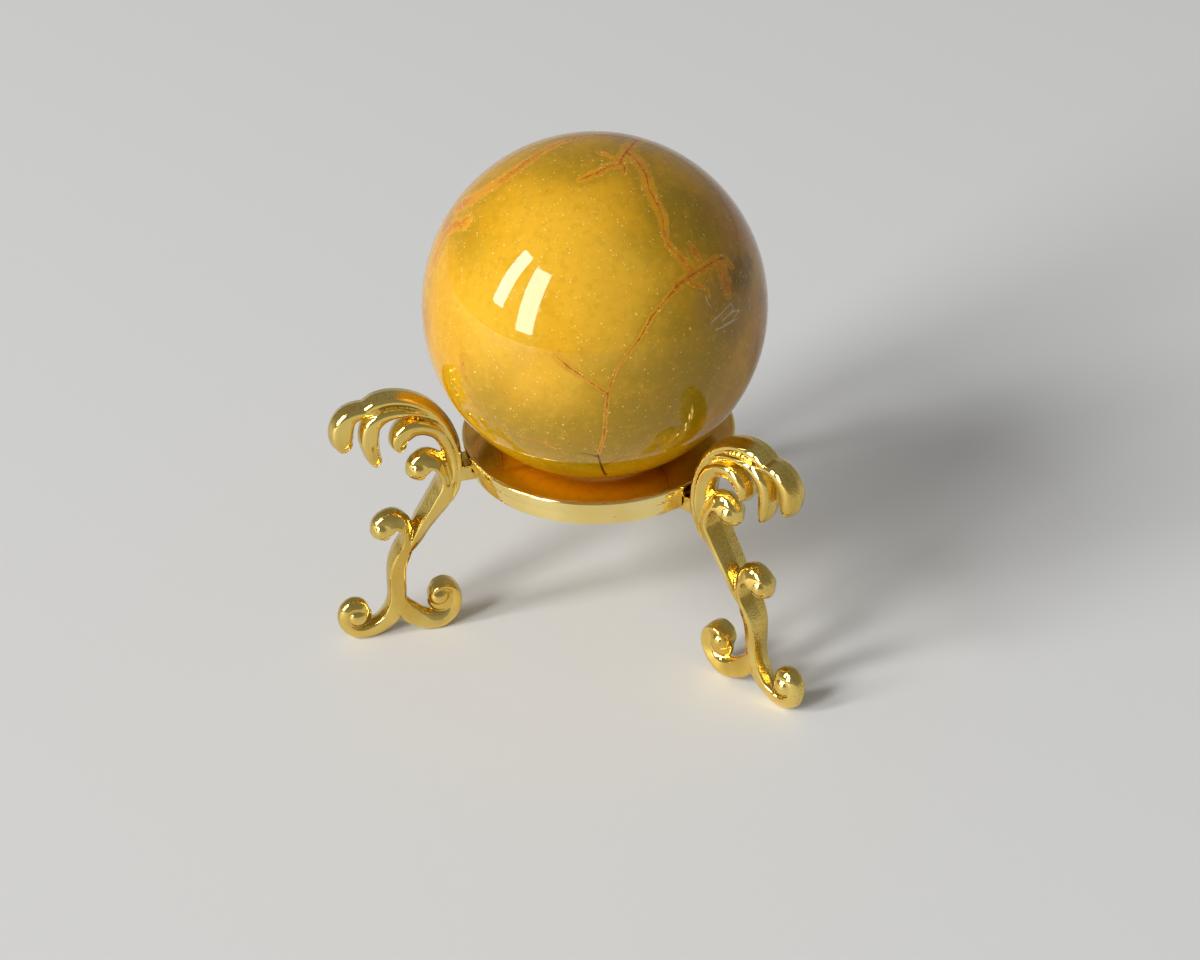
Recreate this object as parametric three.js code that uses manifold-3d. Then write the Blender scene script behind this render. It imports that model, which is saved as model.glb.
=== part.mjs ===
// A polished mookaite sphere on a gold-plated stand: a bevelled ring dish on three scrolled cast legs.
// Millimetres, +Z up. The origin is on the stand's axis, in the plane that the feet stand on.

import * as THREE from 'three';
import { mergeVertices } from 'three/addons/utils/BufferGeometryUtils.js';
import Module from 'manifold-3d';

const wasm = await Module();
wasm.setup();

// Driving dimensions

const STONE_RADIUS = 25.0;
const CLEARANCE = 0.3; // between pieces that lie on or in one another

const LEG_COUNT = 3;
const FIRST_LEG_AZIMUTH = 193; // degrees from +X, for the leg on the viewer's left
const TAB_TOP = 29.5; // height of the tab that carries the dish
const TAB_THICKNESS = 2.4;
const TAB_HALF_WIDTH = 2.2;
const TONGUE_THICKNESS = 1.3; // the tab's thinner end, inside the dish
const TONGUE_LENGTH = 5.4;
const BLOCK_ROOT = 2.0; // how far the tab runs into the casting
const TONGUE_ROOT = 1.0;
const OUTLINE_UNIT = 1.0; // the grid on which the leg's outlines below are drawn
const ROOF_LIMIT = 1.0; // the roofs along a bar grow with its half width up to this

const RIM_RADIUS = 20.5; // outermost edge of the dish
const WALL_INSET = 0.7; // from the rim in to the plain wall below it
const RIM_HEIGHT = 1.9; // the bright bevelled band
const WALL_HEIGHT = 2.2; // the plain wall below the band
const LIP_WIDTH = 0.8;
const LIP_ROUND = 0.35; // radius of the lip's outer corner
const LIP_DROP = 0.2; // from the lip down to the start of the dish's cone
const RIM_FLARE = 0.12; // the band widens this much towards its lip
const EDGE_BREAK = 0.2; // bevel along the lower edges
const SEAT_RADIUS = 9.0; // the round opening whose edge carries the stone
const SEAT_THICKNESS = 1.1; // metal left at that edge

const SCREW_RADIUS = 1.0;
const SCREW_HEAD_RADIUS = 1.8;
const SCREW_HEAD_HEIGHT = 1.2;
const SCREW_GRIP = 1.0; // how far the screw reaches into the dish
const SCREW_INSET = 2.8; // from the wall in to the screw's axis
const SCREW_POINT = 0.3; // height of the taper at its end
const RECESS_DEPTH = 0.6;
const RECESS_WIDTH = 0.5;
const OVERCUT = 1.0; // how far a cutting tool runs past the surface

// Derived places

const RIM_UNDERSIDE = TAB_TOP + CLEARANCE;
const RIM_TOP = RIM_UNDERSIDE + RIM_HEIGHT;
const DISH_UNDERSIDE = RIM_UNDERSIDE - WALL_HEIGHT;
const WALL_RADIUS = RIM_RADIUS - WALL_INSET;
const SEAT_TOP = DISH_UNDERSIDE + SEAT_THICKNESS;
const STONE_HEIGHT = SEAT_TOP + Math.sqrt((STONE_RADIUS + CLEARANCE) ** 2 - SEAT_RADIUS ** 2);

const LEG_FACE = RIM_RADIUS + CLEARANCE; // the leg's inner face, measured from the axis
const TAB_UNDERSIDE = TAB_TOP - TAB_THICKNESS;
const TONGUE_TOP = TAB_UNDERSIDE + TONGUE_THICKNESS;
const NOTCH_CEILING = TONGUE_TOP + CLEARANCE;
const BLOCK_START = WALL_RADIUS + CLEARANCE;
const TONGUE_TIP = WALL_RADIUS - TONGUE_LENGTH;
const SCREW_AXIS = WALL_RADIUS - SCREW_INSET;
const HEAD_TOP = TAB_UNDERSIDE - CLEARANCE;
const SCREW_TIP = NOTCH_CEILING + SCREW_GRIP;

// Materials

const goldPlate = (roughness) =>
  new THREE.MeshStandardMaterial({ color: 0xc9a74a, metalness: 1.0, roughness });
const mookaite = () =>
  new THREE.MeshStandardMaterial({ color: 0xb8860f, metalness: 0.0, roughness: 0.12 });
const plainSteel = () =>
  new THREE.MeshStandardMaterial({ color: 0xb9b6ae, metalness: 1.0, roughness: 0.35 });

// Solids

function solidOf(geometry) {
  const bare = geometry.index ? geometry.clone() : geometry;
  bare.deleteAttribute('normal');
  bare.deleteAttribute('uv');
  const merged = mergeVertices(bare, 1e-5);
  return new wasm.Manifold(
    new wasm.Mesh({
      numProp: 3,
      vertProperties: Float32Array.from(merged.attributes.position.array),
      triVerts: Uint32Array.from(merged.index.array),
    }),
  );
}

function geometryOf(solid) {
  const mesh = solid.getMesh();
  const geometry = new THREE.BufferGeometry();
  geometry.setAttribute('position', new THREE.BufferAttribute(mesh.vertProperties, 3));
  geometry.setIndex(new THREE.BufferAttribute(mesh.triVerts, 1));
  return geometry;
}

function box(lowX, highX, halfWidth, lowZ, highZ) {
  const geometry = new THREE.BoxGeometry(highX - lowX, 2 * halfWidth, highZ - lowZ);
  geometry.translate((lowX + highX) / 2, 0, (lowZ + highZ) / 2);
  return geometry;
}

function uprightCylinder(radius, lowZ, highZ, x, segments) {
  const geometry = new THREE.CylinderGeometry(radius, radius, highZ - lowZ, segments);
  geometry.rotateX(Math.PI / 2);
  geometry.translate(x, 0, (lowZ + highZ) / 2);
  return geometry;
}

// A bar of the casting. It follows a smooth curve in the leg's own plane (X outward, Z up), and each
// point of it gives [out, up, half width, half thickness]. Its edges are shallow roofs, whose ridges
// lie on the mould's parting line. Each side face is fullest near the bar's outer edge, and falls away
// from there to its inner edge.

function ridgedBar(points, { steps, roof, ridge = 0.45, shoulder = 0.8, heel = 0.55 }) {
  const middle = new THREE.CatmullRomCurve3(points.map(([out, up]) => new THREE.Vector3(out, 0, up)));
  const size = new THREE.CatmullRomCurve3(points.map(([, , w, h]) => new THREE.Vector3(w, h, 0)));
  const positions = [];
  for (let step = 0; step <= steps; step++) {
    const t = step / steps;
    const centre = middle.getPoint(t);
    const along = middle.getTangent(t);
    const outer = new THREE.Vector3(-along.z, 0, along.x);
    const { x: w, y: h } = size.getPoint(t);
    const half = [
      [w, shoulder * h],
      [ridge * w, h],
      [-w, heel * h],
    ];
    const peak = w + roof * Math.min(ROOF_LIMIT, w);
    const section = [[peak, 0], ...half, [-peak, 0], ...half.reverse().map(([a, b]) => [a, -b])];
    for (const [across, sideways] of section) {
      const corner = centre.clone().addScaledVector(outer, across);
      positions.push(corner.x, sideways, corner.z);
    }
  }
  return sweptBody(positions, 8, steps);
}

// The closed body over rings of equal point counts, with a flat cap at each end.

function sweptBody(positions, count, steps) {
  const index = [];
  for (let step = 0; step < steps; step++) {
    for (let corner = 0; corner < count; corner++) {
      const next = (corner + 1) % count;
      const a = step * count + corner;
      const b = step * count + next;
      index.push(a, b + count, b, a, a + count, b + count);
    }
  }
  const last = steps * count;
  for (let corner = 1; corner < count - 1; corner++) {
    index.push(0, corner, corner + 1);
    index.push(last, last + corner + 1, last + corner);
  }
  const geometry = new THREE.BufferGeometry();
  geometry.setAttribute('position', new THREE.Float32BufferAttribute(positions, 3));
  geometry.setIndex(index);
  return geometry;
}

// A round boss across the leg, such as the eye of a scroll.

function eye(out, up, radius, halfThickness) {
  const geometry = new THREE.SphereGeometry(1, 14, 8);
  geometry.scale(radius, halfThickness, radius);
  geometry.translate(out, 0, up);
  return geometry;
}

// The leg's outline. Distances outward are measured from its inner face. Heights of the crest and the
// upper scroll are measured from the tab's top, and those of the feet from the floor.

const placed = (points, datum) =>
  points.map((point) => {
    const [out, up, w, h] = point.map((length) => length * OUTLINE_UNIT);
    return [LEG_FACE + out, datum + up, w, h];
  });
const fromTab = (points) => placed(points, TAB_TOP);
const fromFloor = (points) => placed(points, 0);

const crestTop = fromTab([
  [3.8, -8.0, 0.3, 1.6],
  [2.4, -5.4, 0.5, 2.1],
  [1.4, -2.8, 0.6, 2.4],
  [1.1, 0.0, 0.65, 2.6],
  [1.2, 2.6, 0.7, 2.5],
  [1.9, 5.2, 0.8, 2.4],
  [3.2, 8.0, 0.85, 2.3],
  [5.1, 10.3, 0.85, 2.2],
  [7.5, 11.8, 0.85, 2.1],
  [10.2, 12.4, 0.9, 2.05],
  [12.2, 12.1, 0.95, 2.0],
  [13.4, 11.5, 0.85, 1.9],
  [14.0, 10.9, 0.45, 1.4],
]);
const crestOuterLobe = fromTab([
  [11.4, 10.6, 0.4, 1.5],
  [14.0, 11.2, 0.85, 1.9],
  [16.2, 10.6, 1.2, 2.0],
  [17.3, 9.1, 1.45, 2.0],
  [17.6, 7.4, 1.45, 2.0],
  [17.5, 6.0, 1.25, 1.8],
  [17.4, 5.0, 0.6, 1.2],
]);
const crestMiddleLobe = fromTab([
  [2.7, 6.9, 0.25, 1.8],
  [4.1, 8.7, 0.45, 2.0],
  [6.1, 9.8, 0.6, 2.1],
  [8.6, 10.3, 0.75, 2.1],
  [11.2, 10.0, 1.0, 2.1],
  [13.0, 8.7, 1.25, 2.1],
  [13.6, 6.6, 1.25, 2.0],
  [13.5, 4.5, 1.0, 1.9],
  [13.1, 2.7, 0.8, 1.6],
  [12.7, 1.7, 0.4, 1.0],
]);
const crestInnerLobe = fromTab([
  [2.4, -3.0, 0.5, 2.3],
  [1.9, -0.6, 0.8, 2.6],
  [1.9, 1.6, 0.85, 2.5],
  [2.3, 3.8, 0.95, 2.4],
  [3.3, 5.8, 1.1, 2.3],
  [5.0, 7.0, 1.2, 2.2],
  [7.0, 7.3, 1.35, 2.15],
  [8.4, 6.6, 1.4, 2.1],
  [9.2, 5.6, 1.25, 2.0],
  [9.3, 4.5, 0.95, 1.7],
  [9.1, 3.6, 0.45, 1.1],
]);
const upperBar = [
  ...fromTab([
    [7.0, -1.5, 0.6, 1.0],
    [7.0, -0.9, 1.2, 1.7],
    [6.7, 0.2, 1.5, 2.1],
    [5.5, 1.3, 1.3, 2.15],
    [3.9, 0.6, 0.95, 2.3],
    [3.0, -1.2, 0.9, 2.5],
    [2.6, -3.2, 1.25, 2.65],
    [3.5, -5.4, 1.45, 2.6],
    [5.2, -7.8, 1.25, 2.5],
  ]),
  ...fromFloor([
    [6.8, 19.5, 1.05, 2.4],
    [8.2, 17.0, 0.85, 2.2],
    [10.2, 14.0, 0.45, 1.6],
  ]),
];
const lowerBar = fromFloor([
  [13.1, 18.0, 0.6, 1.0],
  [13.2, 18.8, 1.25, 1.7],
  [12.8, 20.1, 1.55, 2.15],
  [11.3, 21.0, 1.3, 2.2],
  [9.9, 20.2, 0.95, 2.2],
  [9.3, 18.4, 0.8, 2.2],
  [9.4, 16.6, 0.95, 2.2],
  [10.3, 14.6, 1.2, 2.2],
  [11.2, 12.4, 1.25, 2.0],
  [11.5, 9.9, 1.2, 1.75],
  [11.6, 7.3, 1.2, 1.6],
  [12.0, 5.0, 1.3, 1.55],
  [12.9, 3.2, 1.4, 1.5],
  [14.2, 2.0, 1.25, 1.5],
  [15.8, 1.25, 1.2, 1.5],
  [17.4, 1.05, 1.1, 1.5],
  [18.8, 1.5, 0.95, 1.5],
  [19.8, 2.6, 0.8, 1.5],
  [20.2, 4.1, 0.7, 1.5],
  [19.8, 5.6, 0.65, 1.5],
  [18.6, 6.4, 0.65, 1.5],
  [17.3, 6.1, 0.6, 1.5],
  [16.7, 4.9, 0.5, 1.4],
]);
const innerFoot = fromFloor([
  [11.4, 7.8, 0.5, 1.4],
  [11.0, 5.4, 0.9, 1.5],
  [10.0, 3.4, 1.4, 1.6],
  [8.6, 2.2, 1.3, 1.65],
  [7.0, 1.4, 1.25, 1.65],
  [5.4, 1.3, 1.2, 1.65],
  [3.9, 2.1, 1.0, 1.65],
  [2.9, 3.5, 0.8, 1.65],
  [2.6, 5.1, 0.7, 1.65],
  [3.1, 6.6, 0.65, 1.65],
  [4.4, 7.3, 0.65, 1.65],
  [5.7, 6.8, 0.6, 1.6],
  [6.1, 5.6, 0.45, 1.5],
]);

// The eyes of the two foot scrolls: [out, up, radius, half thickness] of a thin disc that closes the
// groove, and of the full round boss on it.

const footEyes = fromFloor([
  [18.2, 4.0, 2.4, 1.1],
  [18.0, 4.3, 1.85, 2.0],
  [4.7, 4.6, 2.4, 1.2],
  [5.3, 5.8, 1.75, 2.1],
]);

function legSolid() {
  const stem = { ridge: 0.7, shoulder: 0.9 };
  const bars = [
    ridgedBar(crestTop, { steps: 14, roof: 0.45 }),
    ridgedBar(crestOuterLobe, { steps: 9, roof: 0.5 }),
    ridgedBar(crestMiddleLobe, { steps: 11, roof: 0.4 }),
    ridgedBar(crestInnerLobe, { steps: 12, roof: 0.4 }),
    ridgedBar(upperBar, { steps: 16, roof: 0.5, ...stem }),
    ridgedBar(lowerBar, { steps: 28, roof: 0.35, ...stem }),
    ridgedBar(innerFoot, { steps: 15, roof: 0.3, ...stem }),
    ...footEyes.map(([x, z, radius, halfThickness]) => eye(x, z, radius, halfThickness)),
    box(BLOCK_START, LEG_FACE + BLOCK_ROOT, TAB_HALF_WIDTH, TAB_UNDERSIDE, TAB_TOP),
    box(TONGUE_TIP, LEG_FACE + TONGUE_ROOT, TAB_HALF_WIDTH, TAB_UNDERSIDE, TONGUE_TOP),
  ];
  let leg = solidOf(bars[0]);
  for (const bar of bars.slice(1)) {
    leg = leg.add(solidOf(bar));
  }
  const hole = uprightCylinder(
    SCREW_RADIUS + CLEARANCE, TAB_UNDERSIDE - OVERCUT, TONGUE_TOP + OVERCUT, SCREW_AXIS, 20,
  );
  const belowFloor = box(0, 3 * LEG_FACE, LEG_FACE, -LEG_FACE, 0);
  return leg.subtract(solidOf(hole)).subtract(solidOf(belowFloor));
}

function dishSolid() {
  const lip = [0, 30, 60, 90].map((degrees) => {
    const angle = THREE.MathUtils.degToRad(degrees);
    return [
      RIM_RADIUS - LIP_ROUND + LIP_ROUND * Math.cos(angle),
      RIM_TOP - LIP_ROUND + LIP_ROUND * Math.sin(angle),
    ];
  });
  const profile = [
    [SEAT_RADIUS, DISH_UNDERSIDE],
    [WALL_RADIUS - EDGE_BREAK, DISH_UNDERSIDE],
    [WALL_RADIUS, DISH_UNDERSIDE + EDGE_BREAK],
    [WALL_RADIUS, RIM_UNDERSIDE],
    [RIM_RADIUS - RIM_FLARE - EDGE_BREAK, RIM_UNDERSIDE],
    [RIM_RADIUS - RIM_FLARE, RIM_UNDERSIDE + EDGE_BREAK],
    ...lip,
    [RIM_RADIUS - LIP_WIDTH, RIM_TOP - LIP_DROP],
    [SEAT_RADIUS, SEAT_TOP],
    [SEAT_RADIUS, DISH_UNDERSIDE],
  ];
  let dish = solidOf(
    new THREE.LatheGeometry(profile.map(([r, z]) => new THREE.Vector2(r, z)), 60).rotateX(Math.PI / 2),
  );
  for (const azimuth of legAzimuths()) {
    const notch = box(
      TONGUE_TIP - CLEARANCE, RIM_RADIUS + OVERCUT, TAB_HALF_WIDTH + CLEARANCE,
      DISH_UNDERSIDE - OVERCUT, NOTCH_CEILING,
    );
    const hole = uprightCylinder(
      SCREW_RADIUS + CLEARANCE, NOTCH_CEILING - OVERCUT, SCREW_TIP + CLEARANCE, SCREW_AXIS, 20,
    );
    for (const cut of [notch, hole]) {
      dish = dish.subtract(solidOf(cut.rotateZ(azimuth)));
    }
  }
  return dish;
}

function screwSolid() {
  const headLow = HEAD_TOP - SCREW_HEAD_HEIGHT;
  const profile = [
    [0, headLow],
    [0.6 * SCREW_HEAD_RADIUS, headLow],
    [0.9 * SCREW_HEAD_RADIUS, headLow + 0.35 * SCREW_HEAD_HEIGHT],
    [SCREW_HEAD_RADIUS, headLow + 0.75 * SCREW_HEAD_HEIGHT],
    [SCREW_HEAD_RADIUS, HEAD_TOP],
    [SCREW_RADIUS, HEAD_TOP],
    [SCREW_RADIUS, SCREW_TIP - SCREW_POINT],
    [0.7 * SCREW_RADIUS, SCREW_TIP],
    [0, SCREW_TIP],
  ];
  let screw = solidOf(
    new THREE.LatheGeometry(profile.map(([r, z]) => new THREE.Vector2(r, z)), 16).rotateX(Math.PI / 2),
  );
  for (const turn of [0, Math.PI / 2]) {
    const slot = box(
      -0.6 * SCREW_HEAD_RADIUS, 0.6 * SCREW_HEAD_RADIUS, RECESS_WIDTH / 2,
      headLow - OVERCUT, headLow + RECESS_DEPTH,
    );
    screw = screw.subtract(solidOf(slot.rotateZ(turn)));
  }
  return screw;
}

function legAzimuths() {
  return Array.from({ length: LEG_COUNT }, (_, i) =>
    THREE.MathUtils.degToRad(FIRST_LEG_AZIMUTH + (i * 360) / LEG_COUNT),
  );
}

// The assembly

const model = new THREE.Group();

const stone = new THREE.Mesh(new THREE.SphereGeometry(STONE_RADIUS, 36, 20).rotateX(Math.PI / 2), mookaite());
stone.name = 'stone_sphere';
stone.position.z = STONE_HEIGHT;
model.add(stone);

const dish = new THREE.Mesh(geometryOf(dishSolid()), goldPlate(0.12));
dish.name = 'ring_dish';
model.add(dish);

const legNames = ['left', 'right', 'rear'];
const legGeometry = geometryOf(legSolid());
const screwGeometry = geometryOf(screwSolid());
legAzimuths().forEach((azimuth, i) => {
  const place = new THREE.Group();
  place.rotation.z = azimuth;
  const leg = new THREE.Mesh(legGeometry, goldPlate(0.18));
  leg.name = `leg_${legNames[i]}`;
  const screw = new THREE.Mesh(screwGeometry, plainSteel());
  screw.name = `screw_${legNames[i]}`;
  screw.position.x = SCREW_AXIS;
  place.add(leg, screw);
  model.add(place);
});

export default model;
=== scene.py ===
# A polished mookaite sphere on a gold-plated three-legged stand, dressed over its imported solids.
# Lengths are in millimetres, except those that a comment gives in metres. MM turns them into metres.

import math

import bmesh
import bpy
import numpy as np
from mathutils import Matrix, Vector


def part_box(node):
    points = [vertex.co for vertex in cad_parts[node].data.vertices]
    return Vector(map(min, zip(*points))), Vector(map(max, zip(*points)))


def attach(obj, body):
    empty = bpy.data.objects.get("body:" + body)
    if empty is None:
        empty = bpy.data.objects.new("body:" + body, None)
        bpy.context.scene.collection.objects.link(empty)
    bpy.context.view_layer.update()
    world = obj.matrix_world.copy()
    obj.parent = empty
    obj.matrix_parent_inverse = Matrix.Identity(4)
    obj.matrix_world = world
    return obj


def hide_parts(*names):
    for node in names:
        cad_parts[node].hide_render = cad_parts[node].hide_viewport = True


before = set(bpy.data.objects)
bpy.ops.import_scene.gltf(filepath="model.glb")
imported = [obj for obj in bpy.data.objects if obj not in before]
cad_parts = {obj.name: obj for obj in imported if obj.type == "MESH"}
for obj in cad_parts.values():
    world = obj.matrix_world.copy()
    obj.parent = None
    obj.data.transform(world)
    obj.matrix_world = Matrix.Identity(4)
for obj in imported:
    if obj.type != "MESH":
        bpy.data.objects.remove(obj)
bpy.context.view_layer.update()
MM = 0.001
SEED = 7

# Sizes, as in the part's source

CLEARANCE = 0.3
RIM_RADIUS = 20.5
RIM_HEIGHT = 1.9
RIM_FLARE = 0.12
WALL_INSET = 0.7
WALL_HEIGHT = 2.2
LIP_WIDTH = 0.8
LIP_ROUND = 0.35
LIP_DROP = 0.2
EDGE_BREAK = 0.2
SEAT_RADIUS = 9.0
SEAT_THICKNESS = 1.1
TAB_TOP = 29.5
TAB_THICKNESS = 2.4
TAB_HALF_WIDTH = 2.2
TONGUE_THICKNESS = 1.3
TONGUE_LENGTH = 5.4
TONGUE_ROOT = 1.0
BLOCK_ROOT = 2.0
ROOF_LIMIT = 1.0
SCREW_RADIUS = 1.0
SCREW_HEAD_RADIUS = 1.8
SCREW_HEAD_HEIGHT = 1.2
SCREW_INSET = 2.8
SCREW_GRIP = 1.0
RECESS_DEPTH = 0.6
OVERCUT = 1.0  # how far a cutting body runs past the surface
LEGS = {"left": 193.0, "right": 313.0, "rear": 73.0}

RIM_UNDERSIDE = TAB_TOP + CLEARANCE
RIM_TOP = RIM_UNDERSIDE + RIM_HEIGHT
DISH_UNDERSIDE = RIM_UNDERSIDE - WALL_HEIGHT
WALL_RADIUS = RIM_RADIUS - WALL_INSET
SEAT_TOP = DISH_UNDERSIDE + SEAT_THICKNESS
LEG_FACE = RIM_RADIUS + CLEARANCE
TAB_UNDERSIDE = TAB_TOP - TAB_THICKNESS
TONGUE_TOP = TAB_UNDERSIDE + TONGUE_THICKNESS
TONGUE_TIP = WALL_RADIUS - TONGUE_LENGTH
NOTCH_CEILING = TONGUE_TOP + CLEARANCE
SCREW_AXIS = WALL_RADIUS - SCREW_INSET
HEAD_TOP = TAB_UNDERSIDE - CLEARANCE
HEAD_LOW = HEAD_TOP - SCREW_HEAD_HEIGHT
SCREW_TIP = NOTCH_CEILING + SCREW_GRIP

# Fine detail that only the shown pieces have

SHOWN_GAP = 0.1  # the joint between the dish and each leg's tab
TONGUE_OVERCUT = 0.2  # how far the screw's hole runs past the top of the tab's thinner end
EDGE_ROUND = 0.4  # the largest rounding of a bar's long edges
RIDGE_ROUND = 0.12  # the rounding of the ridges on the parting line
SEAT_ROUND = 0.25  # the rounding of the edge that carries the stone
SEAT_EASE = 0.15  # the bevel of the seat's lower edge
HEAD_DOME = 0.02  # how far the middle of a screw head stands out
THREAD_FROM = 0.4  # from the head's top to the first thread
HEAD_ROUND = 0.7  # the rounding of the screw heads
THREAD_PITCH = 0.36
THREAD_DEPTH = 0.14  # as a share of the screw's radius
THREAD_TURNS = 7
RECESS_HALF_WIDTH = 0.24
RECESS_HALF_LENGTH = 1.05
BAR_STEPS = 7  # rings between two points of a bar
THINNEST = 0.05  # half width and half thickness that a bar keeps
CAP_ANGLES = [math.radians(angle) for angle in (87, 76, 64, 52, 40, 28, 16, 6)]  # rings of a bar's round end

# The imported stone, in metres

stone_low, stone_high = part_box("stone_sphere")
STONE_CENTRE = (Vector(stone_low) + Vector(stone_high)) / 2
STONE_RADIUS = (stone_high[2] - stone_low[2]) / 2

# The camera, at the photograph's place, in metres

IMAGE_WIDTH, IMAGE_HEIGHT = 1200, 960
FOCAL_PIXELS = 2260.86
CAMERA_PLACE = Vector((0.0, -0.28377, 0.21640))
PITCH = math.radians(34.441)
ROLL = math.radians(1.697)

forward = Vector((0, math.cos(PITCH), -math.sin(PITCH)))
level_right = Vector((1, 0, 0))
level_down = forward.cross(level_right)
image_right = level_right * math.cos(ROLL) + level_down * math.sin(ROLL)
image_down = -level_right * math.sin(ROLL) + level_down * math.cos(ROLL)


def make_camera():
    data = bpy.data.cameras.new("camera")
    data.sensor_width = 36.0
    data.lens = FOCAL_PIXELS / IMAGE_WIDTH * data.sensor_width
    data.clip_start, data.clip_end = 0.01, 20
    camera = bpy.data.objects.new("camera", data)
    bpy.context.scene.collection.objects.link(camera)
    turn = Matrix((image_right, -image_down, -forward)).transposed()
    camera.matrix_world = Matrix.Translation(CAMERA_PLACE) @ turn.to_4x4()
    bpy.context.scene.camera = camera


def on_stone(x, y):
    """The point of the stone, as a unit vector from its centre, that the picture shows at x, y."""
    ray = forward * FOCAL_PIXELS + image_right * (x - IMAGE_WIDTH / 2) + image_down * (y - IMAGE_HEIGHT / 2)
    ray.normalize()
    to_centre = STONE_CENTRE - CAMERA_PLACE
    along = ray.dot(to_centre)
    miss = (to_centre - ray * along).length
    reach = math.sqrt(max(0.0, STONE_RADIUS**2 - miss**2))
    return (CAMERA_PLACE + ray * (along - reach) - STONE_CENTRE).normalized()


# Node helpers


class Nodes:
    """A short way to write a node tree."""

    def __init__(self, tree):
        self.tree = tree
        tree.nodes.clear()

    def add(self, kind, inputs=None, **settings):
        node = self.tree.nodes.new(kind)
        for name, value in settings.items():
            setattr(node, name, value)
        for key, value in (inputs or {}).items():
            self.feed(node.inputs[key], value)
        return node

    def feed(self, socket, value):
        if isinstance(value, bpy.types.NodeSocket):
            self.tree.links.new(value, socket)
        elif isinstance(value, bpy.types.Node):
            self.tree.links.new(value.outputs[0], socket)
        else:
            socket.default_value = value

    def math(self, operation, a, b=0.0):
        return self.add("ShaderNodeMath", {0: a, 1: b}, operation=operation).outputs[0]

    def plus(self, a, b):
        return self.math("ADD", a, b)

    def minus(self, a, b):
        return self.math("SUBTRACT", a, b)

    def times(self, a, b):
        return self.math("MULTIPLY", a, b)

    def larger(self, a, b):
        return self.math("MAXIMUM", a, b)

    def mix(self, factor, a, b):
        """From colour a to colour b. A plain colour is written as red, green and blue."""
        node = self.add("ShaderNodeMix", data_type="RGBA")
        self.feed(node.inputs[0], factor)
        for place, colour in ((6, a), (7, b)):
            self.feed(node.inputs[place], colour + (1,) if isinstance(colour, tuple) else colour)
        return node.outputs[2]

    def remap(self, value, low, high, to_low=0.0, to_high=1.0, smooth=True):
        node = self.add("ShaderNodeMapRange", {0: value, 1: low, 2: high, 3: to_low, 4: to_high})
        node.interpolation_type = "SMOOTHSTEP" if smooth else "LINEAR"
        return node.outputs[0]

    def falling(self, value, low, high):
        """1 below low, 0 above high."""
        return self.remap(value, low, high, 1.0, 0.0)

    def noise(self, where, scale, detail, roughness=0.55, distortion=0.0):
        inputs = {"Vector": where, "Scale": scale, "Detail": detail, "Roughness": roughness}
        return self.add("ShaderNodeTexNoise", {**inputs, "Distortion": distortion})

    def cells(self, where, scale):
        """Distance to the nearest of many scattered points, and two random values for that point."""
        voronoi = self.add("ShaderNodeTexVoronoi", {"Vector": where, "Scale": scale}, feature="F1")
        lots = self.add("ShaderNodeSeparateColor", {0: voronoi.outputs["Color"]})
        return voronoi.outputs["Distance"], lots.outputs[0], lots.outputs[1]

    def attribute(self, name):
        return self.add("ShaderNodeAttribute", attribute_name=name).outputs["Fac"]


def new_material(name):
    material = bpy.data.materials.new(name)
    material.use_nodes = True
    return material, Nodes(material.node_tree)


# Materials

BUMP_HEIGHT = 0.0001  # metres
METAL_CLOUDS = 110.0
PIT_SCALE = 1500.0
PIT_SHARE = (0.93, 0.95)  # the cells' lot at which a pit begins and is full
PIT_SIZE = (0.10, 0.2)  # a pit's inner and outer edge, as shares of a cell
# The hollows are darkened as painted shade, together with the patina that plating gathers there.
HOLLOW_SHADE_AND_PATINA = (0.41, 0.492)  # pointiness at which a hollow of the casting is dark, and at which it is not
SMOOTH_SHARE = 0.06  # how much of the pebbling the broad faces keep


def shade(colour, share):
    return tuple(share * part for part in colour)


def metal_material(name, colour, deep, grain_scale, grain, rough, facet=False):
    """Polished plating: cloudy tone, fine grain, and, where the mesh has a facet attribute, pebbled roofs and
    hollows darkened with painted shade and patina.
    """
    material, n = new_material(name)
    where = n.add("ShaderNodeTexCoord").outputs["Object"]
    broad = n.noise(where, METAL_CLOUDS, 3.0).outputs[0]
    fine = n.noise(where, grain_scale, 3.0).outputs[0]
    distance, lot, _ = n.cells(where, PIT_SCALE)
    pit = n.times(n.falling(distance, *PIT_SIZE), n.remap(lot, *PIT_SHARE))
    tone = n.mix(n.remap(broad, 0.35, 0.68), colour, deep)
    tone = n.mix(n.times(pit, 0.7), tone, shade(deep, 0.3))
    roughness = n.remap(n.plus(n.times(fine, 0.5), n.times(broad, 0.5)), 0.38, 0.62, *rough)
    strength = grain
    if facet:
        roof = n.attribute("facet")
        hollow = n.add("ShaderNodeNewGeometry").outputs["Pointiness"]
        # Painted shade and patina: the casting's hollows are darkened.
        tone = n.mix(n.remap(hollow, *HOLLOW_SHADE_AND_PATINA, 0.9, 0.0), tone, shade(deep, 0.3))
        tone = n.mix(n.times(n.remap(fine, 0.42, 0.66), n.times(roof, 0.45)), tone, shade(deep, 0.55))
        strength = n.remap(roof, 0.0, 1.0, SMOOTH_SHARE * grain, grain, smooth=False)
        roughness = n.plus(roughness, n.times(roof, 0.10))
    height = n.minus(fine, n.times(pit, 0.35))
    bump = n.add("ShaderNodeBump", {"Strength": strength, "Distance": BUMP_HEIGHT, "Height": height})
    shader = n.add("ShaderNodeBsdfPrincipled", {
        "Base Color": tone, "Metallic": 1.0, "Roughness": roughness, "Normal": bump})
    n.add("ShaderNodeOutputMaterial", {"Surface": shader})
    return material


# Colours of the stone

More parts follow.
